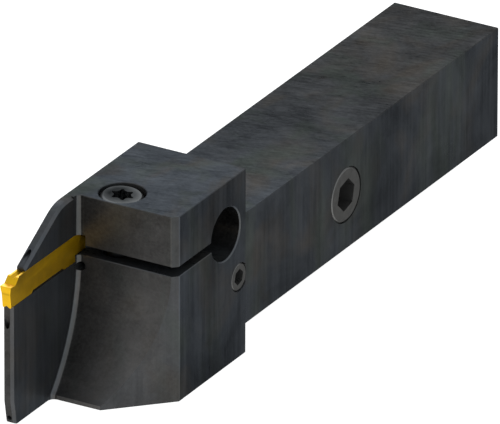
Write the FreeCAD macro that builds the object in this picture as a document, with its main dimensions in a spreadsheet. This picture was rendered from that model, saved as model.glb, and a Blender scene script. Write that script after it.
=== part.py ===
import FreeCAD, Part
import math
import os
import re

import Sketcher
from FreeCAD import Vector

# Grooving tool holder with a screw-clamped insert and internal coolant drillings.
# Millimetres, Z up. The origin is the centre of the shank's underside: the shank runs to +Y,
# the cutting end points to -Y, the blade lies on the -X side and the plugs open on the +X side.

sizes = {
    # Square shank
    "shank_width": 20.0,
    "shank_height": 20.0,
    "shank_length": 84.0,
    "shank_edge_break": 0.5,
    # Head, slightly proud of the shank on the plug side
    "head_length": 22.4,
    "head_rise": 8.3,
    "head_drop": 5.0,
    "head_proud": 0.25,
    "root_radius": 0.8,
    "arch_radius": 33.6,
    "arch_top": 18.0,
    "foot_land": 0.75,
    "corner_bevel": 1.0,
    # Thin blade under and behind the insert
    "blade_thickness": 1.6,
    "blade_reach": 20.65,
    "blade_root_radius": 1.2,
    "blade_edge_bevel": 0.45,
    "heel_rise": 4.35,
    "heel_angle": 10.0,
    "toe_radius": 0.7,
    # Clamping finger above the insert
    "finger_reach": 16.53,
    "finger_shoulder": 2.9,
    "finger_arc_radius": 8.2,
    "finger_slope": 30.0,
    "finger_nose_radius": 0.3,
    # Kerf that frees the clamping jaw, and the round relief bore where it ends
    "kerf_floor": 17.62,
    "kerf_width": 1.7,
    "relief_bore_radius": 4.65,
    "relief_bore_setback": 6.5,
    "relief_bore_rise": 19.0,
    "relief_bore_rim": 0.2,
    # Double-ended cutting insert
    "insert_length": 24.43,
    "insert_overhang": 0.98,
    "edge_rise": 20.3,
    "edge_width": 2.04,
    "insert_width": 1.62,
    "insert_crown": 0.9,
    "insert_tall": 4.8,
    "edge_land": 1.5,
    "land_dip": 0.1,
    "chip_ramp": 1.0,
    "edge_head": 2.6,
    "edge_neck": 0.5,
    "flank_depth": 1.4,
    "end_relief": 7.2,
    "foot_length": 6.5,
    "foot_lift": 0.5,
    "key_half_width": 0.5,
    "key_depth": 0.36,
    "key_gap": 0.05,
    # Pocket in the head for the insert's rear end
    "pocket_width": 3.1,
    "pocket_side_gap": 0.06,
    "pocket_end_gap": 0.3,
    "corner_drill_radius": 0.8,
    "corner_drill_drop": 2.0,
    "corner_drill_depth": 6.0,
    # Clamp screw, M5 with a low round head, a neck and a six-lobe socket; it leans to the blade
    "clamp_across": -2.4,
    "clamp_from_front": 4.2,
    "clamp_lean": 4.0,
    "clamp_head_radius": 3.65,
    "clamp_head_tall": 3.0,
    "clamp_head_sink": 0.35,
    "clamp_head_bevel": 0.5,
    "clamp_bore_gap": 0.3,
    "clamp_stem_radius": 2.5,
    "clamp_stem_length": 16.0,
    "clamp_stem_gap": 0.25,
    "clamp_stem_bevel": 0.5,
    "clamp_neck_radius": 2.05,
    "clamp_neck_length": 8.0,
    "clamp_tap_depth": 11.0,
    "lobe_reach": 1.97,
    "lobe_valley": 1.4,
    "lobe_tip_radius": 0.31,
    "lobe_depth": 1.9,
    # Threads: running gap in a tapped hole, slope of a drill's point, turn of the plugs' keys
    "thread_gap": 0.05,
    "drill_point_slope": 31.0,
    "plug_key_turn": 15.0,
    # Side port with its G1/8 plug
    "side_port_setback": 33.2,
    "side_port_rise": 9.9,
    "port_thread_radius": 4.864,
    "side_plug_length": 6.5,
    "side_port_depth": 7.0,
    "side_plug_hex": 5.0,
    "side_plug_hex_depth": 3.2,
    "side_plug_rim": 0.35,
    # Rear coolant inlet, tapped G1/8: the wall is the thread's inner diameter
    "inlet_radius": 4.283,
    "inlet_depth": 11.0,
    "inlet_rim": 0.6,
    "coolant_rise": 9.9,
    "coolant_radius": 2.5,
    # Cross drilling behind its M5 channel plug
    "cross_setback": 2.1,
    "cross_rise": 9.5,
    "cross_plug_radius": 2.5,
    "cross_plug_length": 5.0,
    "cross_plug_sink": 0.1,
    "cross_plug_hex": 2.5,
    "cross_plug_hex_depth": 2.2,
    "cross_plug_rim": 0.3,
    "cross_tap_depth": 6.0,
    "cross_radius": 1.5,
    "cross_skin": 0.5,
    # Fine channels inside the blade
    "blade_channel_inset": 0.62,
    "blade_channel_radius": 0.42,
    "blade_channel_exit": -3.9,
    "under_nozzle_radius": 0.47,
    "under_nozzle_rise": 13.5,
    "under_nozzle_angle": 24.0,
    "over_nozzle_radius": 0.45,
    "over_nozzle_reach": 14.4,
    "over_nozzle_angle": 10.0,
    "over_nozzle_depth": 16.0,
    "channel_pin_length": 1.2,
    "channel_pin_sink": 0.5,
    "channel_pin_gap": 0.01,
    # How far a cutting outline runs on past the face that it opens
    "overrun": 1.0,
}

# Places worked out from the sizes
places = {
    "far_side": "-shank_width / 2",
    "near_side": "shank_width / 2 + head_proud",
    "shank_rear": "shank_length / 2",
    "head_back": "-shank_length / 2",
    "head_front": "head_back - head_length",
    "head_top": "shank_height + head_rise",
    "arch_end": "foot_land - head_drop",
    "arch_foot": "head_front - arch_radius + sqrt(arch_radius^2 - (arch_top - arch_end)^2)",
    "blade_front": "head_front - blade_reach",
    "blade_inside": "head_front + head_length / 2",
    "blade_face": "far_side + blade_thickness",
    "heel_set": "heel_rise * tan(heel_angle)",
    "toe_run": "toe_radius * tan(45 - heel_angle / 2)",
    "finger_tip": "head_front - finger_reach",
    "finger_arc_start": "head_front - finger_shoulder",
    "finger_arc_end": "finger_arc_start - finger_arc_radius * sin(finger_slope)",
    "finger_arc_drop": "finger_arc_radius * (1 - cos(finger_slope))",
    "finger_tip_top": "head_top - finger_arc_drop - (finger_arc_end - finger_tip) * tan(finger_slope)",
    "nose_run": "finger_nose_radius * tan(finger_slope)",
    "insert_front": "blade_front - insert_overhang",
    "insert_back": "insert_front + insert_length",
    "insert_middle": "insert_front + insert_length / 2",
    "insert_across": "far_side + blade_thickness / 2",
    "insert_top": "edge_rise + insert_crown",
    "seat_floor": "insert_top - insert_tall",
    "seat_middle": "(seat_floor + insert_top) / 2",
    "kerf_top": "kerf_floor + kerf_width",
    "bore_along": "head_back - relief_bore_setback",
    "clamp_along": "head_front + clamp_from_front",
    "clamp_seat_across": "clamp_across - clamp_head_tall * sin(clamp_lean)",
    "clamp_seat": "head_top - clamp_head_sink - clamp_head_tall * cos(clamp_lean)",
    "clamp_tap_top": "(kerf_floor + kerf_top) / 2 - clamp_seat",
    "clamp_tap_end": "kerf_floor - clamp_tap_depth - clamp_seat",
    "side_port_along": "head_back + side_port_setback",
    "cross_along": "head_back - cross_setback",
    "channel_across": "far_side + blade_channel_inset",
    "heel_at_exit": "blade_front + (heel_rise - head_drop - blade_channel_exit) * tan(heel_angle)",
    "channel_run": "cross_along - heel_at_exit",
    "channel_fall": "cross_rise - blade_channel_exit",
    "channel_angle": "atan2(channel_fall; channel_run) / 1 deg",
    "channel_length": "sqrt(channel_run^2 + channel_fall^2)",
    "channel_seat_length": "insert_back - (edge_rise - seat_floor) * tan(end_relief) - blade_front",
}

doc = FreeCAD.newDocument("GroovingToolHolder")
sheet = doc.addObject("Spreadsheet::Sheet", "Sizes")
for row, (alias, size) in enumerate(sizes.items(), start=1):
    sheet.set(f"A{row}", alias)
    sheet.set(f"B{row}", str(size))
    sheet.setAlias(f"B{row}", alias)
doc.recompute()


def linked(text):
    """Turn a formula of sizes and places into an expression on the sheet."""
    def swap(word):
        name = word[0]
        if name in sizes:
            return "Sizes." + name
        if name in places:
            return "(" + linked(places[name]) + ")"
        return name
    return re.sub(r"[a-z][a-z_0-9]*", swap, text)


def value(text):
    result = sheet.evalExpression(linked(text))
    return float(getattr(result, "Value", result))


def new_body(label, across="0", along="0", up="0"):
    body = doc.addObject("PartDesign::Body", label)
    body.Label = label
    for axis, text in zip("xyz", (across, along, up)):
        body.setExpression("Placement.Base." + axis, linked(text))
    return body


def new_sketch(body, name, role, across="0", up="0", lift="0"):
    sketch = body.newObject("Sketcher::SketchObject", name)
    plane = next(item for item in body.Origin.OriginFeatures if item.Role == role)
    sketch.AttachmentSupport = (plane, [""])
    sketch.MapMode = "FlatFace"
    for axis, text in zip("xyz", (across, up, lift)):
        sketch.setExpression("AttachmentOffset.Base." + axis, linked(text))
    return sketch


def bind(sketch, kind, side, point, text):
    if point:
        rule = Sketcher.Constraint(kind, side, point, value(text))
    else:
        rule = Sketcher.Constraint(kind, side, value(text))
    index = sketch.addConstraint(rule)
    sketch.setExpression(f"Constraints[{index}]", linked(text))


def arc_between(start, stop, radius, turn):
    # turn is 1 for an arc that turns left on its way, -1 for one that turns right
    chord = stop - start
    sagitta = radius - math.sqrt(radius ** 2 - (chord.Length / 2) ** 2)
    outward = Vector(chord.y, -chord.x, 0).normalize() * turn
    middle = (start + stop) / 2 + outward * sagitta
    if turn > 0:
        return Part.Arc(start, middle, stop)
    return Part.Arc(stop, middle, start)


def add_outline(sketch, corners):
    # A corner is (across, up), with (radius, turn) added where an arc leads to the next corner
    spots = [Vector(value(corner[0]), value(corner[1]), 0) for corner in corners]
    ends = []
    for index, corner in enumerate(corners):
        start = spots[index]
        stop = spots[(index + 1) % len(spots)]
        if len(corner) == 2:
            side = sketch.addGeometry(Part.LineSegment(start, stop), False)
            first, last = 1, 2
        else:
            radius, turn = corner[2:]
            side = sketch.addGeometry(arc_between(start, stop, value(radius), turn), False)
            first, last = (1, 2) if turn > 0 else (2, 1)
            bind(sketch, "Radius", side, 0, radius)
        ends.append((side, first, last))
        bind(sketch, "DistanceX", side, first, corner[0])
        bind(sketch, "DistanceY", side, first, corner[1])
    for index, (side, first, last) in enumerate(ends):
        after = ends[(index + 1) % len(ends)]
        sketch.addConstraint(Sketcher.Constraint("Coincident", side, last, after[0], after[1]))


def add_path(sketch, corners):
    # An open run of lines and arcs through the corners, written as an outline's corners are
    spots = [Vector(value(corner[0]), value(corner[1]), 0) for corner in corners]
    joint = None
    for corner, start, stop in zip(corners, spots, spots[1:]):
        if len(corner) == 2:
            side = sketch.addGeometry(Part.LineSegment(start, stop), False)
            first, last = 1, 2
        else:
            radius, turn = corner[2:]
            side = sketch.addGeometry(arc_between(start, stop, value(radius), turn), False)
            first, last = (1, 2) if turn > 0 else (2, 1)
            bind(sketch, "Radius", side, 0, radius)
        bind(sketch, "DistanceX", side, first, corner[0])
        bind(sketch, "DistanceY", side, first, corner[1])
        if joint:
            sketch.addConstraint(Sketcher.Constraint("Coincident", joint[0], joint[1], side, first))
        joint = (side, last)
    bind(sketch, "DistanceX", side, last, corners[-1][0])
    bind(sketch, "DistanceY", side, last, corners[-1][1])


def add_circle(sketch, radius, across="0", up="0"):
    centre = Vector(value(across), value(up), 0)
    side = sketch.addGeometry(Part.Circle(centre, Vector(0, 0, 1), value(radius)), False)
    bind(sketch, "Radius", side, 0, radius)
    bind(sketch, "DistanceX", side, 3, across)
    bind(sketch, "DistanceY", side, 3, up)


def hexagon(across_flats):
    reach = f"{across_flats} / 2 / cos(30)"
    turns = [f"(plug_key_turn + {60 * step})" for step in range(6)]
    return [(f"{reach} * cos({turn})", f"{reach} * sin({turn})") for turn in turns]


def six_lobes():
    # Round tips on one circle, joined by hollow valleys that meet them smoothly
    tip_centre = "(lobe_reach - lobe_tip_radius)"
    valley_radius = (f"(({tip_centre}^2 + lobe_valley^2 - 2 * {tip_centre} * lobe_valley * cos(30)"
                     f" - lobe_tip_radius^2) / 2 / (lobe_tip_radius + {tip_centre} * cos(30) - lobe_valley))")
    valley_centre = f"(lobe_valley + {valley_radius})"
    share = f"(lobe_tip_radius / (lobe_tip_radius + {valley_radius}))"
    corners = []
    for step in range(6):
        tip = 60 * step
        for valley, shape in ((tip - 30, ("lobe_tip_radius", 1)), (tip + 30, (valley_radius, -1))):
            across = (f"{tip_centre} * cos({tip}) * (1 - {share})"
                      f" + {valley_centre} * cos({valley}) * {share}")
            up = (f"{tip_centre} * sin({tip}) * (1 - {share})"
                  f" + {valley_centre} * sin({valley}) * {share}")
            corners.append((across, up) + shape)
    return corners


def finish(body, feature, grows):
    """Recompute and make sure that the feature really added or removed metal."""
    feature.Refine = False
    base = feature.BaseFeature
    doc.recompute()
    change = feature.Shape.Volume - (base.Shape.Volume if base else 0)
    if change * (1 if grows else -1) <= 0:
        raise RuntimeError(f"{body.Label}.{feature.Name} changed nothing: {change:.4f}")
    return feature


def pad(body, sketch, name, length, backwards=False, symmetric=False):
    feature = body.newObject("PartDesign::Pad", name)
    feature.Profile = sketch
    feature.setExpression("Length", linked(length))
    feature.Reversed = backwards
    if symmetric:
        feature.SideType = "Symmetric"
    return finish(body, feature, True)


def pocket(body, sketch, name, length="", backwards=False, symmetric=False):
    feature = body.newObject("PartDesign::Pocket", name)
    feature.Profile = sketch
    feature.Reversed = backwards
    if symmetric:
        feature.SideType = "Symmetric"
    if length:
        feature.setExpression("Length", linked(length))
    else:
        feature.Type = "ThroughAll"
    return finish(body, feature, False)


def turned(body, sketch, name, axis, cuts):
    feature = body.newObject("PartDesign::Groove" if cuts else "PartDesign::Revolution", name)
    feature.Profile = sketch
    feature.ReferenceAxis = (sketch, [axis])
    feature.Angle = 360
    return finish(body, feature, not cuts)


def dressed(body, kind, name, edges, size, grows):
    base = body.Tip
    feature = body.newObject("PartDesign::" + kind, name)
    feature.Base = (base, edges)
    feature.setExpression("Radius" if kind == "Fillet" else "Size", linked(size))
    return finish(body, feature, grows)


def drilling(body, name, radius, length, start, turn_angle):
    # A round hole from start, tipped about X: 90 points it along -Y, more points it down as well
    feature = body.newObject("PartDesign::SubtractiveCylinder", name)
    feature.setExpression("Radius", linked(radius))
    feature.setExpression("Height", linked(length))
    feature.Placement.Rotation = FreeCAD.Rotation(Vector(1, 0, 0), value(turn_angle))
    feature.setExpression("Placement.Rotation.Angle", linked(turn_angle))
    for axis, text in zip("xyz", start):
        feature.setExpression("Placement.Base." + axis, linked(text))
    return finish(body, feature, False)


def bevel_along(body, name, section, path):
    feature = body.newObject("PartDesign::SubtractivePipe", name)
    feature.Profile = section
    feature.Spine = path
    feature.Transition = "Right corner"
    finish(body, feature, False)


def find_edges(body, **where):
    # Names of the tip's edges whose ends all lie at the given x, y or z
    targets = [("xyz".index(axis), value(text)) for axis, text in where.items()]
    names = []
    for number, edge in enumerate(body.Tip.Shape.Edges, start=1):
        ends = [vertex.Point for vertex in edge.Vertexes]
        if all(abs(end[axis] - target) < 1e-4 for end in ends for axis, target in targets):
            names.append(f"Edge{number}")
    if not names:
        raise RuntimeError(f"{body.Label}: no edge at {where}")
    return names


def circle_edges(body, text):
    # Names of the tip's round edges with the given radius
    radius = value(text)
    names = []
    for number, edge in enumerate(body.Tip.Shape.Edges, start=1):
        curve = edge.Curve
        if isinstance(curve, Part.Circle) and abs(curve.Radius - radius) < 1e-4:
            names.append(f"Edge{number}")
    return names


def tool_body():
    body = new_body("tool_body")

    section = new_sketch(body, "shank_section", "XZ_Plane", lift="-shank_rear")
    add_outline(section, [
        ("-shank_width / 2", "0"),
        ("shank_width / 2", "0"),
        ("shank_width / 2", "shank_height"),
        ("-shank_width / 2", "shank_height"),
    ])
    pad(body, section, "shank", "shank_length")
    long_edges = []
    for side_x in ("-shank_width / 2", "shank_width / 2"):
        for side_z in ("0", "shank_height"):
            long_edges += find_edges(body, x=side_x, z=side_z)
    rear_edges = find_edges(body, y="shank_rear")
    dressed(body, "Chamfer", "shank_breaks", long_edges + rear_edges, "shank_edge_break", False)

    side = new_sketch(body, "head_side", "YZ_Plane", lift="far_side")
    add_outline(side, [
        ("head_back", "-head_drop"),
        ("head_back", "head_top"),
        ("head_front", "head_top"),
        ("head_front", "arch_top", "arch_radius", -1),
        ("arch_foot", "arch_end"),
        ("arch_foot", "-head_drop"),
    ])
    pad(body, side, "head", "shank_width + head_proud")

    roots = find_edges(body, y="head_back", z="shank_height") + find_edges(body, y="head_back", z="0")
    dressed(body, "Fillet", "head_roots", roots, "root_radius", True)

    # The front corner on the plug side is cut back at 45 degrees, wider where the arch swells
    corner = new_sketch(body, "corner_cut", "XY_Plane")
    add_outline(corner, [
        ("near_side + overrun", "head_front + corner_bevel + overrun"),
        ("near_side - corner_bevel - (head_front - arch_foot) - overrun", "arch_foot - overrun"),
        ("near_side + overrun", "arch_foot - overrun"),
    ])
    pocket(body, corner, "corner_bevel", symmetric=True)

    blade = new_sketch(body, "blade_side", "YZ_Plane", lift="far_side")
    add_outline(blade, [
        ("blade_inside", "-head_drop"),
        ("blade_front + heel_set + toe_run", "-head_drop", "toe_radius", -1),
        ("blade_front + heel_set - toe_run * sin(heel_angle)", "-head_drop + toe_run * cos(heel_angle)"),
        ("blade_front", "heel_rise - head_drop"),
        ("blade_front", "seat_middle"),
        ("finger_tip", "seat_middle"),
        ("finger_tip", "finger_tip_top - nose_run", "finger_nose_radius", -1),
        ("finger_tip + nose_run * cos(finger_slope)", "finger_tip_top + nose_run * sin(finger_slope)"),
        ("finger_arc_end", "head_top - finger_arc_drop", "finger_arc_radius", -1),
        ("finger_arc_start", "head_top"),
        ("blade_inside", "head_top"),
    ])
    pad(body, blade, "blade", "blade_thickness")
    blade_root = find_edges(body, x="blade_face", y="head_front")
    blade_root += find_edges(body, x="blade_face", y="arch_foot")
    dressed(body, "Fillet", "blade_root", blade_root, "blade_root_radius", True)
    blade_bevels(body)

    return body


def blade_bevels(body):
    # 45-degree bevels on the blade's open side: along the finger's back and down the front edge
    margin = "blade_edge_bevel"
    back = new_sketch(body, "finger_bevel_path", "YZ_Plane", lift="blade_face")
    add_path(back, [
        ("head_front - blade_root_radius", "head_top"),
        ("finger_arc_start", "head_top", "finger_arc_radius", 1),
        ("finger_arc_end", "head_top - finger_arc_drop"),
        ("finger_tip - overrun * cos(finger_slope)", "finger_tip_top - overrun * sin(finger_slope)"),
    ])
    wedge = new_sketch(body, "finger_bevel_section", "XZ_Plane", lift="blade_root_radius - head_front")
    add_outline(wedge, [
        (f"blade_face - blade_edge_bevel - {margin}", f"head_top + {margin}"),
        (f"blade_face + {margin}", f"head_top - blade_edge_bevel - {margin}"),
        (f"blade_face + {margin}", f"head_top + {margin}"),
    ])
    bevel_along(body, "finger_bevel", wedge, back)

    edge = new_sketch(body, "front_bevel_path", "YZ_Plane", lift="blade_face")
    add_path(edge, [
        ("blade_front", "seat_middle"),
        ("blade_front", "heel_rise - head_drop"),
        ("blade_front + heel_set + overrun * tan(heel_angle)", "-head_drop - overrun"),
    ])
    wedge = new_sketch(body, "front_bevel_section", "XY_Plane", lift="seat_middle")
    add_outline(wedge, [
        (f"blade_face - blade_edge_bevel - {margin}", f"blade_front - {margin}"),
        (f"blade_face + {margin}", f"blade_front - {margin}"),
        (f"blade_face + {margin}", f"blade_front + blade_edge_bevel + {margin}"),
    ])
    bevel_along(body, "front_bevel", wedge, edge)


def jaw_cuts(body):
    # The relief bore goes right through the head, and the kerf runs from it to the front face
    bore = new_sketch(body, "relief_circle", "YZ_Plane")
    add_circle(bore, "relief_bore_radius", "bore_along", "relief_bore_rise")
    pocket(body, bore, "relief_bore", symmetric=True)
    rims = circle_edges(body, "relief_bore_radius")
    dressed(body, "Chamfer", "relief_rims", rims, "relief_bore_rim", False)

    kerf = new_sketch(body, "kerf_side", "YZ_Plane")
    add_outline(kerf, [
        ("bore_along", "kerf_floor"),
        ("bore_along", "kerf_top"),
        ("finger_arc_start", "kerf_top"),
        ("finger_arc_start", "kerf_floor"),
    ])
    pocket(body, kerf, "kerf", symmetric=True)

    # Slot for the insert: seat, jaw and a stop that leans like the insert's end
    channel = new_sketch(body, "channel_side", "YZ_Plane", lift="far_side - overrun")
    lean = "tan(end_relief)"
    add_outline(channel, [
        ("blade_front - overrun", "seat_floor"),
        (f"insert_back - (edge_rise - seat_floor) * {lean}", "seat_floor"),
        (f"insert_back - (edge_rise - kerf_floor) * {lean}", "kerf_floor"),
        ("insert_back", "kerf_floor"),
        ("insert_back", "insert_top"),
        ("blade_front - overrun", "insert_top"),
    ])
    reach = "overrun + blade_thickness / 2 + insert_width / 2 + pocket_side_gap"
    pocket(body, channel, "insert_channel", reach, backwards=True)
    recess = new_sketch(body, "recess_side", "YZ_Plane", lift="far_side - overrun")
    add_outline(recess, [
        ("finger_arc_start", "kerf_floor"),
        ("insert_back + pocket_end_gap", "kerf_floor"),
        ("insert_back + pocket_end_gap", "insert_top"),
        ("finger_arc_start", "insert_top"),
    ])
    pocket(body, recess, "insert_recess", "overrun + pocket_width", backwards=True)

    # Vee keys on the seat and under the jaw hold the insert sideways
    key_half = "(key_half_width - key_gap)"
    key_tall = "(key_depth - key_gap)"
    seat_key = new_sketch(body, "seat_key_section", "XZ_Plane", lift="-blade_front")
    add_outline(seat_key, [
        (f"insert_across - {key_half}", "seat_floor - key_gap"),
        (f"insert_across + {key_half}", "seat_floor - key_gap"),
        (f"insert_across + {key_half}", "seat_floor"),
        ("insert_across", f"seat_floor + {key_tall}"),
        (f"insert_across - {key_half}", "seat_floor"),
    ])
    pad(body, seat_key, "seat_key", "channel_seat_length", backwards=True)
    jaw_key = new_sketch(body, "jaw_key_section", "XZ_Plane", lift="-finger_tip")
    add_outline(jaw_key, [
        (f"insert_across - {key_half}", "insert_top + key_gap"),
        (f"insert_across - {key_half}", "insert_top"),
        ("insert_across", f"insert_top - {key_tall}"),
        (f"insert_across + {key_half}", "insert_top"),
        (f"insert_across + {key_half}", "insert_top + key_gap"),
    ])
    pad(body, jaw_key, "jaw_key", "insert_back - finger_tip", backwards=True)

    # Relief drilling in the corner below the insert
    drilling(body, "corner_drill", "corner_drill_radius", "corner_drill_depth + blade_root_radius",
             ("blade_face + corner_drill_radius - key_gap",
              "head_front + corner_drill_depth",
              "kerf_floor - corner_drill_drop"), "90")


def clamp_bore(body):
    # Counterbore, clearance hole through the jaw, tapped hole below the kerf, all on the screw's
    # leaning axis and measured from the seat under the screw's head
    bore = new_sketch(body, "clamp_bore_section", "XZ_Plane", across="clamp_seat_across",
                      up="clamp_seat", lift="-clamp_along")
    bore.AttachmentOffset.Rotation = FreeCAD.Rotation(Vector(0, 0, -1), value("clamp_lean"))
    bore.setExpression("AttachmentOffset.Rotation.Angle", linked("clamp_lean"))
    head_radius = "clamp_head_radius + clamp_bore_gap"
    stem_radius = "clamp_stem_radius + clamp_stem_gap"
    tap_radius = "clamp_stem_radius + thread_gap"
    add_outline(bore, [
        ("0", "clamp_head_tall + clamp_head_sink + overrun"),
        ("0", f"clamp_tap_end - ({tap_radius}) * tan(drill_point_slope)"),
        (tap_radius, "clamp_tap_end"),
        (tap_radius, "clamp_tap_top"),
        (stem_radius, "clamp_tap_top"),
        (stem_radius, "0"),
        (head_radius, "0"),
        (head_radius, "clamp_head_tall + clamp_head_sink + overrun"),
    ])
    turned(body, bore, "clamp_bore", "V_Axis", True)


def side_port(body):
    port = new_sketch(body, "side_port_section", "XY_Plane", up="side_port_along", lift="side_port_rise")
    wall = "port_thread_radius + thread_gap"
    add_outline(port, [
        ("shank_width / 2 + overrun", "0"),
        (f"shank_width / 2 - side_port_depth - ({wall}) * tan(drill_point_slope)", "0"),
        ("shank_width / 2 - side_port_depth", wall),
        ("shank_width / 2 + overrun", wall),
    ])
    turned(body, port, "side_port", "H_Axis", True)


def cross_port(body):
    port = new_sketch(body, "cross_port_section", "XY_Plane", up="cross_along", lift="cross_rise")
    wall = "cross_plug_radius + thread_gap"
    add_outline(port, [
        ("near_side + overrun", "0"),
        ("far_side + cross_skin", "0"),
        ("far_side + cross_skin", "cross_radius"),
        ("near_side - cross_tap_depth", "cross_radius"),
        ("near_side - cross_tap_depth", wall),
        ("near_side + overrun", wall),
    ])
    turned(body, port, "cross_port", "H_Axis", True)


def coolant_inlet(body):
    inlet = new_sketch(body, "inlet_section", "XY_Plane", lift="coolant_rise")
    add_outline(inlet, [
        ("0", "shank_rear + overrun"),
        ("0", "cross_along"),
        ("coolant_radius", "cross_along"),
        ("coolant_radius", "shank_rear - inlet_depth"),
        ("inlet_radius", "shank_rear - inlet_depth"),
        ("inlet_radius", "shank_rear - inlet_rim"),
        ("inlet_radius + inlet_rim", "shank_rear"),
        ("inlet_radius + inlet_rim", "shank_rear + overrun"),
    ])
    turned(body, inlet, "coolant_inlet", "V_Axis", True)


def nozzles(body):
    drilling(body, "blade_channel", "blade_channel_radius", "channel_length + 2 * overrun",
             ("channel_across", "cross_along", "cross_rise"), "90 + channel_angle")
    # The lower nozzle meets the blade channel and opens under the insert
    meet = ("((under_nozzle_rise - cross_rise + (cross_along - blade_front) * tan(channel_angle))"
            " / (cos(under_nozzle_angle) + sin(under_nozzle_angle) * tan(channel_angle)))")
    drilling(body, "under_nozzle", "under_nozzle_radius", f"{meet} + 2 * overrun",
             ("channel_across",
              f"blade_front + {meet} * sin(under_nozzle_angle)",
              f"under_nozzle_rise - {meet} * cos(under_nozzle_angle)"), "under_nozzle_angle")
    # The upper nozzle runs down the finger and points at the cutting edge
    exit_along = "(head_front - over_nozzle_reach)"
    exit_up = (f"(head_top - finger_arc_drop - (finger_arc_end - {exit_along}) * tan(finger_slope))")
    drilling(body, "over_nozzle", "over_nozzle_radius", "over_nozzle_depth + 3 * overrun",
             ("channel_across",
              f"{exit_along} + over_nozzle_depth * cos(over_nozzle_angle)",
              f"{exit_up} + over_nozzle_depth * sin(over_nozzle_angle)"), "90 + over_nozzle_angle")


def cutting_insert():
    # Double-ended insert; its own origin is its middle, on the shank underside's level
    body = new_body("cutting_insert", across="insert_across", along="insert_middle")
    half = "(insert_length / 2)"
    lean = "tan(end_relief)"
    foot = f"({half} - (edge_rise - seat_floor) * {lean})"
    profile = new_sketch(body, "insert_side", "YZ_Plane")
    back = [
        (f"{foot} - foot_length", "seat_floor"),
        (foot, "seat_floor"),
        (half, "edge_rise"),
        (f"{half} - edge_land", "edge_rise - land_dip"),
        (f"{half} - edge_land - chip_ramp", "insert_top"),
    ]
    front = [(f"-({along})", up) for along, up in reversed(back)]
    step = "foot_lift"
    add_outline(profile, [
        (f"{foot} - foot_length - {step}", "seat_floor + foot_lift"),
    ] + back + front + [
        (f"-({foot} - foot_length - {step})", "seat_floor + foot_lift"),
    ])
    pad(body, profile, "blank", "edge_width", symmetric=True)

    # Waist between the two wide cutting ends
    for name, sign in (("far_waist", "-1"), ("near_waist", "1")):
        waist = new_sketch(body, name + "_outline", "XY_Plane")
        inner = f"{sign} * insert_width / 2"
        outer = f"{sign} * (edge_width / 2 + overrun)"
        lip = f"{sign} * edge_width / 2"
        add_outline(waist, [
            (inner, f"-({half} - edge_head - edge_neck)"),
            (lip, f"-({half} - edge_head)"),
            (outer, f"-({half} - edge_head)"),
            (outer, f"{half} - edge_head"),
            (lip, f"{half} - edge_head"),
            (inner, f"{half} - edge_head - edge_neck"),
        ])
        pocket(body, waist, name, symmetric=True)
        # Flank relief below the cutting edge
        flank = new_sketch(body, name + "_flank", "XZ_Plane")
        add_outline(flank, [
            (inner, "seat_floor - overrun"),
            (inner, "edge_rise - flank_depth"),
            (lip, "edge_rise"),
            (outer, "edge_rise"),
            (outer, "seat_floor - overrun"),
        ])
        pocket(body, flank, name + "_relief", symmetric=True)

    # Vee grooves under and on top
    for name, edge, inward in (("lower_groove", "seat_floor", 1), ("upper_groove", "insert_top", -1)):
        groove = new_sketch(body, name + "_section", "XZ_Plane")
        add_outline(groove, [
            ("-key_half_width", f"{edge} - {inward} * overrun"),
            ("key_half_width", f"{edge} - {inward} * overrun"),
            ("key_half_width", edge),
            ("0", f"{edge} + {inward} * key_depth"),
            ("-key_half_width", edge),
        ])
        pocket(body, groove, name, symmetric=True)
    return body


def clamp_screw():
    # Its own origin is on its axis, at the underside of the head
    body = new_body("clamp_screw", across="clamp_seat_across", along="clamp_along", up="clamp_seat")
    body.Placement.Rotation = FreeCAD.Rotation(Vector(0, 1, 0), value("clamp_lean"))
    body.setExpression("Placement.Rotation.Angle", linked("clamp_lean"))
    profile = new_sketch(body, "screw_section", "XZ_Plane")
    add_outline(profile, [
        ("0", "-clamp_stem_length"),
        ("clamp_stem_radius - clamp_stem_bevel", "-clamp_stem_length"),
        ("clamp_stem_radius", "-clamp_stem_length + clamp_stem_bevel"),
        ("clamp_stem_radius", "clamp_neck_radius - clamp_stem_radius - clamp_neck_length"),
        ("clamp_neck_radius", "-clamp_neck_length"),
        ("clamp_neck_radius", "0"),
        ("clamp_head_radius", "0"),
        ("clamp_head_radius", "clamp_head_tall - clamp_head_bevel"),
        ("clamp_head_radius - clamp_head_bevel", "clamp_head_tall"),
        ("0", "clamp_head_tall"),
    ])
    turned(body, profile, "blank", "V_Axis", False)
    lobes = new_sketch(body, "lobe_outline", "XY_Plane", lift="clamp_head_tall")
    add_outline(lobes, six_lobes())
    pocket(body, lobes, "six_lobe_socket", "lobe_depth")
    return body


def hex_plug(label, radius, length, rim, flats, flats_depth, spot):
    # A headless plug whose outer face is at its own x = 0 and whose body runs to -x
    body = new_body(label, *spot)
    profile = new_sketch(body, "plug_section", "XY_Plane")
    add_outline(profile, [
        (f"-{length}", "0"),
        ("0", "0"),
        ("0", f"{radius} - {rim}"),
        (f"-{rim}", radius),
        (f"-{length} + {rim}", radius),
        (f"-{length}", f"{radius} - {rim}"),
    ])
    turned(body, profile, "blank", "H_Axis", False)
    socket = new_sketch(body, "hex_outline", "YZ_Plane")
    add_outline(socket, hexagon(flats))
    pocket(body, socket, "hex_socket", flats_depth)
    return body


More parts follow.
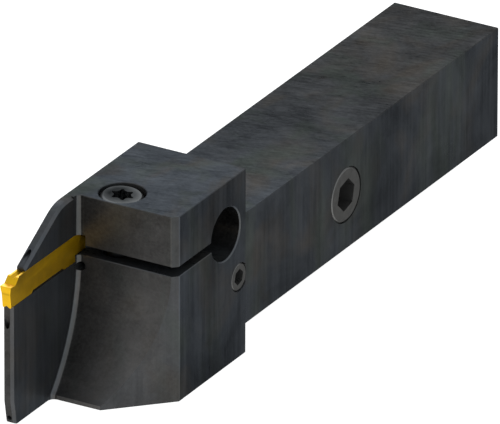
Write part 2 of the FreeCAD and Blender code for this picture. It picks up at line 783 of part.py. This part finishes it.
def channel_pin():
    # Pressed into the mouth of the blade channel, its outer end just below the heel's surface
    back_off = "(channel_pin_sink + channel_pin_length)"
    body = new_body("blade_channel_pin", "channel_across",
                    f"heel_at_exit + {back_off} * cos(channel_angle)",
                    f"blade_channel_exit + {back_off} * sin(channel_angle)")
    body.Placement.Rotation = FreeCAD.Rotation(Vector(1, 0, 0), value("90 + channel_angle"))
    body.setExpression("Placement.Rotation.Angle", linked("90 + channel_angle"))
    disc = new_sketch(body, "pin_circle", "XY_Plane")
    add_circle(disc, "blade_channel_radius - channel_pin_gap")
    pad(body, disc, "pin", "channel_pin_length")
    return body


def build():
    holder = tool_body()
    jaw_cuts(holder)
    clamp_bore(holder)
    side_port(holder)
    cross_port(holder)
    coolant_inlet(holder)
    nozzles(holder)
    cutting_insert()
    clamp_screw()
    hex_plug("side_port_plug", "port_thread_radius", "side_plug_length", "side_plug_rim",
             "side_plug_hex", "side_plug_hex_depth",
             ("shank_width / 2", "side_port_along", "side_port_rise"))
    hex_plug("channel_plug_screw", "cross_plug_radius", "cross_plug_length", "cross_plug_rim",
             "cross_plug_hex", "cross_plug_hex_depth",
             ("near_side - cross_plug_sink", "cross_along", "cross_rise"))
    channel_pin()


build()
doc.recompute()
broken = [item.Name for item in doc.Objects if "Invalid" in item.State or "Error" in item.State]
if broken:
    raise RuntimeError("Failed features: " + ", ".join(broken))
os.makedirs("parts", exist_ok=True)
for body in doc.findObjects("PartDesign::Body"):
    shape = body.Shape
    if shape.isNull() or not shape.isValid():
        raise RuntimeError("Bad shape: " + body.Label)
    shape.exportStep(f"parts/{body.Label}.step")
    print(body.Label, len(shape.Solids), round(shape.Volume, 2), shape.BoundBox)
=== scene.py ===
import math

import bmesh
import bpy
from mathutils import Matrix, Vector


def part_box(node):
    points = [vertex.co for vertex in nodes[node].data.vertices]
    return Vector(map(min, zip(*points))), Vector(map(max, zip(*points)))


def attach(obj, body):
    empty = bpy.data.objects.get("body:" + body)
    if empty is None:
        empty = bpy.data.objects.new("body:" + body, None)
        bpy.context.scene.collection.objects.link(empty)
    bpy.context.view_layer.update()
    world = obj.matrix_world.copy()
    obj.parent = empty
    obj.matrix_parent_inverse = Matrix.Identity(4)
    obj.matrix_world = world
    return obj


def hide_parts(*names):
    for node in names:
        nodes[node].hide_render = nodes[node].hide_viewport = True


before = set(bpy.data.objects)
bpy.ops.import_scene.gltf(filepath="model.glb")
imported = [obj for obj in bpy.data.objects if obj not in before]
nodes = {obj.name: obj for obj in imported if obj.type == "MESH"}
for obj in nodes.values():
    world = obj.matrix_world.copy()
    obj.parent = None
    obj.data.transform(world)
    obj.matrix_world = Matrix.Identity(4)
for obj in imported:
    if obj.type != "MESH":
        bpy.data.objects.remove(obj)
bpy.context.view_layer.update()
print("holder loaded")

mm = 0.001


# Node helpers for the materials

def newMaterial(name):
    material = bpy.data.materials.new(name)
    material.use_nodes = True
    tree = material.node_tree
    tree.nodes.clear()
    output = tree.nodes.new("ShaderNodeOutputMaterial")
    shader = tree.nodes.new("ShaderNodeBsdfPrincipled")
    tree.links.new(shader.outputs["BSDF"], output.inputs["Surface"])
    return material, tree, shader


def addNode(tree, kind, inputs=None, **settings):
    node = tree.nodes.new(kind)
    for name, value in settings.items():
        setattr(node, name, value)
    for name, value in (inputs or {}).items():
        if isinstance(value, bpy.types.NodeSocket):
            tree.links.new(value, node.inputs[name])
        else:
            node.inputs[name].default_value = value
    return node


def stretched(tree, scale, turn=(0, 0, 0)):
    # Object coordinates, turned in degrees and then stretched for one pattern
    coordinates = addNode(tree, "ShaderNodeTexCoord")
    turned = addNode(tree, "ShaderNodeMapping", {
        "Vector": coordinates.outputs["Object"], "Rotation": [math.radians(angle) for angle in turn]})
    mapping = addNode(tree, "ShaderNodeMapping", {"Vector": turned.outputs["Vector"], "Scale": scale})
    return mapping.outputs["Vector"]


def noise(tree, vector, scale, detail=4, roughness=0.55, distortion=0.0):
    node = addNode(tree, "ShaderNodeTexNoise", {
        "Vector": vector, "Scale": scale, "Detail": detail,
        "Roughness": roughness, "Distortion": distortion})
    return node.outputs["Fac"]


def spread(tree, value, low, high, fromLow=0.0, fromHigh=1.0):
    node = addNode(tree, "ShaderNodeMapRange", {
        "Value": value, "From Min": fromLow, "From Max": fromHigh, "To Min": low, "To Max": high})
    return node.outputs["Result"]


def swing(tree, value, amount):
    # A noise turned into a change of plus or minus the amount
    return spread(tree, value, -amount, amount, 0.3, 0.7)


def maths(tree, operation, first, second):
    node = addNode(tree, "ShaderNodeMath", operation=operation)
    for socket, value in zip(node.inputs, (first, second)):
        if isinstance(value, bpy.types.NodeSocket):
            tree.links.new(value, socket)
        else:
            socket.default_value = value
    return node.outputs[0]


def mixed(tree, factor, first, second):
    # Two colours mixed by a factor
    node = addNode(tree, "ShaderNodeMix", data_type="RGBA")
    for socket, value in ((node.inputs[0], factor), (node.inputs[6], first), (node.inputs[7], second)):
        if isinstance(value, bpy.types.NodeSocket):
            tree.links.new(value, socket)
        elif hasattr(value, "__len__"):
            socket.default_value = (*value, 1)
        else:
            socket.default_value = value
    return node.outputs[2]


def mixedValues(tree, factor, first, second):
    node = addNode(tree, "ShaderNodeMix", {"Factor": factor}, data_type="FLOAT")
    tree.links.new(first, node.inputs[2])
    tree.links.new(second, node.inputs[3])
    return node.outputs[0]


def scaled(tree, colour, amount):
    # The colour times a grey amount
    node = addNode(tree, "ShaderNodeVectorMath", {0: colour, "Scale": amount}, operation="SCALE")
    return node.outputs[0]


def attribute(tree, name):
    return addNode(tree, "ShaderNodeAttribute", attribute_name=name).outputs["Fac"]


def placeOf(tree):
    # X, Y and Z of the point in the object's own coordinates
    return addNode(tree, "ShaderNodeSeparateXYZ", {"Vector": stretched(tree, (1, 1, 1))}).outputs


def facingOf(tree):
    # X, Y and Z of the surface's direction
    geometry = addNode(tree, "ShaderNodeNewGeometry")
    return addNode(tree, "ShaderNodeSeparateXYZ", {"Vector": geometry.outputs["Normal"]}).outputs


def magnitude(tree, value):
    return maths(tree, "ABSOLUTE", value, 0.0)


def setShader(shader, finish):
    # Metal with a duller shine at glancing angles
    shader.inputs["Metallic"].default_value = finish["metallic"]
    shader.inputs["Specular IOR Level"].default_value = 0.0
    shader.inputs["Specular Tint"].default_value = (*[finish["edgeTint"]] * 3, 1)


blackSteel = {
    "colour": (0.050, 0.051, 0.052),
    "blueTint": (0.048, 0.052, 0.057),
    "brownTint": (0.055, 0.051, 0.046),
    "greenTint": (0.048, 0.053, 0.050),
    "metallic": 0.65,
    "edgeTint": 0.24,
    "roughness": (0.26, 0.38),
    "paintedLightStrength": 0.6,
    "frontReflectedWarmth": 0.65,
    "frontShade": 0.13,
    "topPaintedLight": 0.42,
    "rearPaintedLight": 0.35,
    "wallBrushing": 0.14,
    "wallBands": 0.12,
    "frontBrushing": 0.35,
    "topScratches": 0.2,
    "crossScratches": 0.08,
    "mottle": 0.18,
    "grains": 0.14,
    "sideMottle": 0.25,
    "sideReflectedBlue": 0.8,
    "clouds": 0.26,
    "archPaintedLight": 1.15,
    "bump": 0.03,
    "bumpDepth": 0.1,
}

# Noise patterns: stretch, turn about Z, then scale, detail, roughness and distortion
marks = {
    "cloud": ((1, 1, 1), 0, 60, 5, 0.6, 0.6),
    "warm": ((1, 0.7, 0.6), 0, 95, 4, 0.55, 0.8),
    "green": ((1, 1, 0.3), 0, 140, 3, 0.5, 0.5),
    "upright": ((1, 1, 0.04), 0, 1400, 4, 0.65, 0),
    "bands": ((1, 1, 0.08), 0, 260, 3, 0.5, 0),
    "crosswise": ((0.12, 1, 1), -12, 2000, 4, 0.7, 0.4),
    "crossing": ((0.1, 1, 1), -38, 1900, 3, 0.7, 0.4),
    "speckle": ((0.4, 1, 0.7), -12, 520, 6, 0.72, 0.5),
    "grains": ((0.7, 1, 0.8), -12, 2400, 3, 0.6, 0.3),
}


def pattern(tree, name):
    stretch, turn, *settings = marks[name]
    return noise(tree, stretched(tree, stretch, (0, 0, turn)), *settings)


def blackSteelMaterial():
    material, tree, shader = newMaterial("blackSteel")
    cloud, warm, green = [pattern(tree, name) for name in ("cloud", "warm", "green")]
    place, facing = placeOf(tree), facingOf(tree)

    # Bluish towards the head, painted reflected colour by facing (warmer on the front faces, bluer on the
    # side faces), and brown and green clouds
    along = spread(tree, place["Y"], 1, 0, -50 * mm, 20 * mm)
    isFront = spread(tree, facing["Y"], 1, 0, -0.9, -0.5)
    isTop = spread(tree, magnitude(tree, facing["Z"]), 0, 1, 0.8, 0.95)
    sideReflectedBlue = spread(tree, magnitude(tree, facing["X"]), 0, blackSteel["sideReflectedBlue"], 0.8, 0.95)
    frontReflectedWarmth = maths(tree, "MULTIPLY", isFront, blackSteel["frontReflectedWarmth"])
    bluish = maths(tree, "MAXIMUM", along, sideReflectedBlue)
    tone = mixed(tree, bluish, blackSteel["colour"], blackSteel["blueTint"])
    tone = mixed(tree, frontReflectedWarmth, tone, blackSteel["brownTint"])
    tone = mixed(tree, spread(tree, warm, 0, 0.7, 0.48, 0.68), tone, blackSteel["brownTint"])
    tone = mixed(tree, spread(tree, green, 0, 0.8, 0.5, 0.7), tone, blackSteel["greenTint"])

    # Brushing: upright on the walls, crosswise on the tops
    wall = maths(tree, "ADD", swing(tree, pattern(tree, "upright"), blackSteel["wallBrushing"]),
                 swing(tree, pattern(tree, "bands"), blackSteel["wallBands"]))
    wall = maths(tree, "MULTIPLY", wall, spread(tree, isFront, 1, blackSteel["frontBrushing"]))
    top = maths(tree, "ADD", swing(tree, pattern(tree, "crosswise"), blackSteel["topScratches"]),
                swing(tree, pattern(tree, "crossing"), blackSteel["crossScratches"]))
    brushing = mixedValues(tree, isTop, wall, top)

    # Short uneven marks on the tops and the front, hardly any on the sides
    mottle = maths(tree, "ADD", swing(tree, pattern(tree, "speckle"), blackSteel["mottle"]),
                   swing(tree, pattern(tree, "grains"), blackSteel["grains"]))
    openFace = maths(tree, "MAXIMUM", isTop, isFront)
    mottle = maths(tree, "MULTIPLY", mottle, spread(tree, openFace, blackSteel["sideMottle"], 1))

    # How light each place is, with 1 for the plain colour
    blotch = maths(tree, "ADD", swing(tree, cloud, blackSteel["clouds"]), mottle)
    amount = maths(tree, "ADD", maths(tree, "ADD", brushing, blotch), 1.0)
    # Painted light on the tops, weaker towards the rear, and painted shade on the front faces
    topPaintedLight = maths(tree, "MULTIPLY", isTop, spread(tree, along, blackSteel["rearPaintedLight"], 1))
    amount = maths(tree, "ADD", amount, maths(tree, "MULTIPLY", topPaintedLight, blackSteel["topPaintedLight"]))
    amount = maths(tree, "SUBTRACT", amount, maths(tree, "MULTIPLY", isFront, blackSteel["frontShade"]))
    # Per-face painted highlights and painted shade, stored on the mesh
    paintedChange = maths(tree, "MULTIPLY", attribute(tree, "paintedLight"), blackSteel["paintedLightStrength"])

    # Painted light on the arch's foot, stronger away from the blade
    away = spread(tree, place["X"], 0, 1, -6 * mm, 4 * mm)
    low = spread(tree, place["Z"], 1, 0, -4 * mm, 15 * mm)
    archFootLight = maths(tree, "MULTIPLY", maths(tree, "MULTIPLY", away, low), attribute(tree, "archFace"))
    paintedChange = maths(tree, "ADD", paintedChange, maths(tree, "MULTIPLY", archFootLight, blackSteel["archPaintedLight"]))
    tree.links.new(scaled(tree, tone, maths(tree, "ADD", amount, paintedChange)), shader.inputs["Base Color"])

    setShader(shader, blackSteel)
    rough = spread(tree, warm, *blackSteel["roughness"], 0.3, 0.7)
    tree.links.new(rough, shader.inputs["Roughness"])
    grain = maths(tree, "ADD", brushing, maths(tree, "ADD", spread(tree, cloud, 0, 0.2), mottle))
    bump = addNode(tree, "ShaderNodeBump", {
        "Strength": blackSteel["bump"], "Distance": blackSteel["bumpDepth"] * mm, "Height": grain})
    tree.links.new(bump.outputs["Normal"], shader.inputs["Normal"])
    return material


goldCoat = {
    "colour": (0.74, 0.43, 0.008),
    "darker": (0.64, 0.37, 0.008),
    "metallic": 0.88,
    "roughness": 0.3,
    "grain": 500,
    "lineHeight": 18.95,
    "lineWidth": 0.3,
    "lineShade": 0.3,
    "paintedLightStrength": 0.5,
}


def goldCoatMaterial():
    material, tree, shader = newMaterial("goldCoat")
    shade = noise(tree, stretched(tree, (1, 1, 1)), goldCoat["grain"], 4, 0.6)
    base = mixed(tree, spread(tree, shade, 0, 1, 0.35, 0.65), goldCoat["colour"], goldCoat["darker"])

    # A faint pressing line across the end, and a painted highlight on the edge breaks
    place, facing = placeOf(tree), facingOf(tree)
    offLine = magnitude(tree, maths(tree, "SUBTRACT", place["Z"], goldCoat["lineHeight"] * mm))
    line = spread(tree, offLine, goldCoat["lineShade"], 0, 0, goldCoat["lineWidth"] * mm)
    line = maths(tree, "MULTIPLY", line, spread(tree, facing["Y"], 1, 0, -0.9, -0.7))
    paintedChange = maths(tree, "MULTIPLY", attribute(tree, "paintedLight"), goldCoat["paintedLightStrength"])
    amount = maths(tree, "ADD", maths(tree, "SUBTRACT", 1.0, line), paintedChange)
    tree.links.new(scaled(tree, base, amount), shader.inputs["Base Color"])
    shader.inputs["Metallic"].default_value = goldCoat["metallic"]
    shader.inputs["Roughness"].default_value = goldCoat["roughness"]
    return material


def plainSteelMaterial(name, steel):
    material, tree, shader = newMaterial(name)
    shade = noise(tree, stretched(tree, (1, 1, 1)), steel["grain"], 4, 0.6)
    amount = spread(tree, shade, 1 - steel["variation"], 1 + steel["variation"], 0.3, 0.7)
    if "middle" in steel:
        # Turned head: painted reflection, darker on one side and lighter on the other, and a painted
        # highlight towards the rim
        middle, radius = Vector(steel["middle"]) * mm, steel["radius"] * mm
        where = stretched(tree, (1, 1, 1))
        across = addNode(tree, "ShaderNodeSeparateXYZ", {"Vector": where}).outputs["X"]
        oneSidePaintedReflection = spread(tree, across, -steel["oneSidePaintedReflection"], steel["oneSidePaintedReflection"],
                         middle.x - radius, middle.x + radius)
        fromMiddle = addNode(tree, "ShaderNodeVectorMath", {0: where, 1: middle}, operation="DISTANCE")
        rimStart = radius * steel["rimStart"]
        rim = spread(tree, fromMiddle.outputs["Value"], 0, steel["rimPaintedHighlight"], rimStart, radius)
        amount = maths(tree, "ADD", amount, maths(tree, "ADD", oneSidePaintedReflection, rim))
    # Per-face painted highlights and painted shade, stored on the mesh
    paintedChange = maths(tree, "MULTIPLY", attribute(tree, "paintedLight"), steel["paintedLightStrength"])
    amount = maths(tree, "ADD", amount, paintedChange)
    tree.links.new(scaled(tree, steel["colour"], amount), shader.inputs["Base Color"])
    setShader(shader, steel)
    shader.inputs["Roughness"].default_value = steel["roughness"]
    return material


# Where things are on the holder, in mm, to find its faces and edges
spots = {
    "shankSide": 10, "shankTop": 20, "shankRear": 42, "shankBreak": 0.5,
    "headFront": -64.4, "headBack": -42, "headTop": 28.3, "headSide": 10.25, "headFoot": -5,
    "bladeEnd": -73.5, "rootMiddle": -7.5, "rootHalf": 0.9, "archTop": 15,
    "slitLow": 17.5, "slitHigh": 19.4, "boreMiddle": (-48.5, 19), "boreRadius": 4.7,
    "screwMiddle": (-2.4, -60.2), "screwHole": 4.3,
}
edges = {
    "shankBreak": 0.12, "fineWidth": 0.12, "insertWidth": 0.07, "fineAngle": 44,
    "breakHighlight": 0.5, "bevelHighlight": 1.0, "rootMiddle": 1.3, "rootSides": -0.6,
    "boreRim": 1.2, "cornerPlane": 0.2, "headSide": -0.25, "slitInside": -0.9,
}


def isArch(face):
    middle, normal = face.calc_center_median() / mm, face.normal
    inFront = middle.y < spots["headFront"] + 0.1 and middle.z < spots["archTop"]
    return inFront and normal.y < -0.3 and abs(normal.x) < 0.05


def isSlanted(across):
    # Turned about 45 degrees towards the plug side
    return 0.6 < across < 0.8


def dressedCopy(nodeName, body, material, sharpAngle=30, paintedLight=None, reshape=None):
    # The solid's own surface, welded, with flat triangles joined and round ones shaded smooth
    mesh = nodes[nodeName].data.copy()
    mesh.name = nodeName + "Surface"
    shape = bmesh.new()
    shape.from_mesh(mesh)
    bmesh.ops.remove_doubles(shape, verts=shape.verts, dist=0.0005 * mm)
    bmesh.ops.dissolve_limit(shape, angle_limit=math.radians(0.05), verts=shape.verts, edges=shape.edges)
    for face in shape.faces:
        face.material_index = 0
    if reshape:
        reshape(shape)
    # Per-face painted highlights and painted shade, and a mask of the arch's faces
    toneLayer = shape.faces.layers.float.new("paintedLight")
    archLayer = shape.faces.layers.float.new("archFace")
    shape.normal_update()
    for face in shape.faces:
        isFresh = face.material_index == 1  # an edge break marked by breakEdges
        face.smooth = not isFresh
        face.material_index = 0
        # Painted highlight on the edge breaks, and painted light and shade from the given function
        # elsewhere
        face[toneLayer] = edges["breakHighlight"] if isFresh else paintedLight(face) if paintedLight else 0.0
        face[archLayer] = 1.0 if nodeName == "tool_body" and isArch(face) else 0.0
    for edge in shape.edges:
        edge.smooth = len(edge.link_faces) == 2 and edge.calc_face_angle() < math.radians(sharpAngle)
    shape.to_mesh(mesh)
    shape.free()
    mesh.materials.clear()
    mesh.materials.append(material)
    if "custom_normal" in mesh.attributes:
        mesh.attributes.remove(mesh.attributes["custom_normal"])
    piece = bpy.data.objects.new(nodeName + "Finished", mesh)
    bpy.context.scene.collection.objects.link(piece)
    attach(piece, body)
    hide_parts(nodeName)
    print(nodeName, len(mesh.polygons), "faces")


def crisperShank(shape):
    # The shank's edge breaks look narrower than they are cut
    cut, left, near = spots["shankBreak"] * mm, edges["shankBreak"] * mm, 0.02 * mm
    top, rear, side = spots["shankTop"] * mm, spots["shankRear"] * mm, spots["shankSide"] * mm
    for vert in shape.verts:
        x, y, z = vert.co
        if y < spots["headBack"] * mm - 0.05 * mm:
            continue
        atEdge = z > top - 1.1 * mm or z < 1.1 * mm or y > rear - 0.6 * mm
        if side - mm < abs(x) < side - 0.45 * mm and atEdge:
            vert.co.x += math.copysign(cut - left, x)
        if abs(z - cut) < near:
            vert.co.z = left
        if abs(z - top + cut) < near:
            vert.co.z = top - left
        if abs(y - rear + cut) < near:
            vert.co.y = rear - left


def breakEdges(shape, width, isChosen):
    # Sharp edges get a narrow bevel, whose faces are marked for a painted highlight line
    shape.normal_update()
    chosen = []
    for edge in shape.edges:
        if len(edge.link_faces) != 2 or not edge.is_convex:
            continue
        if edge.calc_face_angle() < math.radians(edges["fineAngle"]):
            continue
        if isChosen((edge.verts[0].co + edge.verts[1].co) / 2 / mm, edge.calc_length() / mm):
            chosen.append(edge)
    cut = bmesh.ops.bevel(shape, geom=chosen, offset=width * mm, offset_type="OFFSET", segments=1,
                          profile=0.5, affect="EDGES", clamp_overlap=False)
    for face in cut["faces"]:
        face.material_index = 1
    print("fine edge breaks on", len(chosen), "edges")


def isHeadEdge(middle, length):
    # The head's straight edges and the rim of the screw's hole, but not the arch
    fromScrew = math.dist(middle.xy, spots["screwMiddle"])
    if middle.z > spots["headTop"] - 0.01 and fromScrew < spots["screwHole"]:
        return True
    onArch = middle.y < spots["headFront"] - 0.01 and middle.z > spots["headFoot"] + 0.1
    onHead = middle.x > -6 and spots["bladeEnd"] < middle.y < spots["headBack"] + 0.1
    return length > 1.5 and onHead and not onArch


def dressHolder(shape):
    crisperShank(shape)
    breakEdges(shape, edges["fineWidth"], isHeadEdge)


def dressInsert(shape):
    breakEdges(shape, edges["insertWidth"], lambda middle, length: length > 1.2)


def holderPaintedLight(face):
    # Painted light and shade by face: painted highlights on the slanted bevels, the bore rim and the
    # middle of the blade's root, painted shade on the head's side, inside the slit and the bore, and on
    # the root's sides
    middle, across = face.calc_center_median() / mm, face.normal.x
    if middle.x > 9.7 and middle.y > -62 and isSlanted(across):
        return edges["boreRim"]
    if middle.x > 0 and middle.y < -60 and isSlanted(across):
        return edges["cornerPlane"]
    if middle.x > spots["headSide"] - 0.15 and across > 0.99:
        return edges["headSide"]
    inSlit = spots["slitLow"] < middle.z < spots["slitHigh"] and middle.y > spots["headFront"]
    inSlit = inSlit and abs(face.normal.z) > 0.5
    inBore = abs(across) < 0.1 and math.dist(middle.yz, spots["boreMiddle"]) < spots["boreRadius"]
    if (inSlit or inBore) and middle.y < spots["headBack"] - 0.1:
        return edges["slitInside"]
    if middle.x > -6.5 or middle.y > spots["headFront"] + 0.4:
        return 0.0
    if abs(middle.x - spots["rootMiddle"]) < spots["rootHalf"] and 0.1 < across < 0.97:
        return edges["rootMiddle"] if 0.39 < across < 0.87 else edges["rootSides"]
    return edges["bevelHighlight"] if abs(abs(across) - math.sqrt(0.5)) < 0.02 else 0.0


screwSteel = {
    "colour": (0.047, 0.049, 0.050), "metallic": 0.9, "edgeTint": 0.3, "roughness": 0.3,
    "grain": 700, "variation": 0.15, "paintedLightStrength": 2.6,
    "bevel": 1.0, "socketFloor": 0.8, "headWall": 0.3, "stem": -0.25,
    "middle": (-2.4, -60.2, 28.1), "radius": 3.2, "oneSidePaintedReflection": 0.5, "rimStart": 0.65, "rimPaintedHighlight": 0.7,
}
plugSteel = {
    "colour": (0.068, 0.068, 0.066), "metallic": 0.8, "edgeTint": 0.4, "roughness": 0.35,
    "grain": 900, "variation": 0.12, "paintedLightStrength": 1.1,
    "bevel": 1.0, "socketFloor": 0.9, "outerWall": 0.5, "innerWall": -0.6,
}


def screwPaintedLight(face):
    # Painted highlight on the bevel round the head, a lighter socket floor and head wall, and painted
    # shade on the stem
    middle, rise = face.calc_center_median() / mm, face.normal.z
    if middle.z > 27 and 0.3 < rise < 0.95:
        return screwSteel["bevel"]
    if middle.z > 25.5 and rise > 0.95:
        return 0.0 if middle.z > 27.5 else screwSteel["socketFloor"]
    return screwSteel["headWall"] if middle.z > 25.5 else screwSteel["stem"]


def plugPaintedLight(face):
    # Painted highlight on the rim and painted shade on the socket's inner wall; the socket's floor and the
    # outer wall are lighter
    across, middle = face.normal.x, face.calc_center_median() / mm
    if isSlanted(across):
        return plugSteel["bevel"]
    if across > 0.8:
        return 0.0 if middle.x > 9.8 else plugSteel["socketFloor"]
    return plugSteel["outerWall"] if middle.x > 7 else plugSteel["innerWall"]


dressedCopy("tool_body", "holder", blackSteelMaterial(),
            paintedLight=holderPaintedLight, reshape=dressHolder)
dressedCopy("cutting_insert", "insert", goldCoatMaterial(), reshape=dressInsert)
dressedCopy("clamp_screw", "screw", plainSteelMaterial("clampScrewSteel", screwSteel),
            paintedLight=screwPaintedLight)
plugFinish = plainSteelMaterial("plugSteel", plugSteel)
for nodeName in ("side_port_plug", "channel_plug_screw", "blade_channel_pin"):
    dressedCopy(nodeName, "holder", plugFinish, paintedLight=plugPaintedLight)
print("pieces dressed")


# Floor, light and camera

stage = {
    "floorSize": 4.0,
    "floorGap": 0.02,
    "floorShade": 0.35,
    "floorGlow": 0.95,
    "worldShade": (0.95, 0.97, 1.0),
    "worldStrength": 0.85,
}
rearBox = {"place": (-0.48, 0.84, 0.45), "aim": (0, -0.02, 0.02), "size": (1.1, 1.1), "power": 6}


def makeFloor():
    material, tree, shader = newMaterial("paleFloor")
    shader.inputs["Base Color"].default_value = (*[stage["floorShade"]] * 3, 1)
    shader.inputs["Roughness"].default_value = 0.9
    shader.inputs["Specular IOR Level"].default_value = 0.0
    shader.inputs["Emission Color"].default_value = (1, 1, 1, 1)
    shader.inputs["Emission Strength"].default_value = stage["floorGlow"]
    shape = bmesh.new()
    bmesh.ops.create_grid(shape, x_segments=1, y_segments=1, size=stage["floorSize"] / 2)
    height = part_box("tool_body")[0].z - stage["floorGap"] * mm
    bmesh.ops.translate(shape, verts=shape.verts, vec=(0, 0, height))
    mesh = bpy.data.meshes.new("floor")
    shape.to_mesh(mesh)
    shape.free()
    mesh.materials.append(material)
    floor = bpy.data.objects.new("floor", mesh)
    bpy.context.scene.collection.objects.link(floor)


def makeWorld():
    world = bpy.data.worlds.new("studio")
    world.use_nodes = True
    background = world.node_tree.nodes["Background"]
    background.inputs["Color"].default_value = (*stage["worldShade"], 1)
    background.inputs["Strength"].default_value = stage["worldStrength"]
    bpy.context.scene.world = world


def makeLight(name, box):
    data = bpy.data.lights.new(name, "AREA")
    data.shape = "RECTANGLE"
    data.size, data.size_y = box["size"]
    data.energy = box["power"]
    light = bpy.data.objects.new(name, data)
    light.location = box["place"]
    towards = Vector(box["aim"]) - Vector(box["place"])
    light.rotation_euler = towards.to_track_quat("-Z", "Y").to_euler()
    bpy.context.scene.collection.objects.link(light)


camera = {
    "azimuth": 30.152,
    "elevation": 25.357,
    "roll": 0.119,
    "lens": 1400,
    "sensor": 36,
    "distance": 3.2157,
    "aimRight": -11.58 * mm,
    "aimUp": 0.69 * mm,
    "clip": (0.05, 12),
}


def makeCamera():
    # Far away with a very long lens, so that there is hardly any perspective
    azimuth, elevation = math.radians(camera["azimuth"]), math.radians(camera["elevation"])
    back = Vector((math.sin(azimuth) * math.cos(elevation), -math.cos(azimuth) * math.cos(elevation),
                   math.sin(elevation)))
    right = Vector((math.cos(azimuth), math.sin(azimuth), 0))
    up = back.cross(right)
    data = bpy.data.cameras.new("camera")
    data.lens = camera["lens"]
    data.sensor_width = camera["sensor"]
    data.clip_start, data.clip_end = camera["clip"]
    view = bpy.data.objects.new("camera", data)
    roll = Matrix.Rotation(math.radians(camera["roll"]), 3, "Z")
    turn = Matrix((right, up, back)).transposed() @ roll
    place = right * camera["aimRight"] + up * camera["aimUp"] + back * camera["distance"]
    view.matrix_world = Matrix.Translation(place) @ turn.to_4x4()
    bpy.context.scene.collection.objects.link(view)
    bpy.context.scene.camera = view


makeFloor()
makeWorld()
makeLight("rearBox", rearBox)
makeCamera()
bpy.context.scene.view_settings.view_transform = "Standard"
print("stage set")
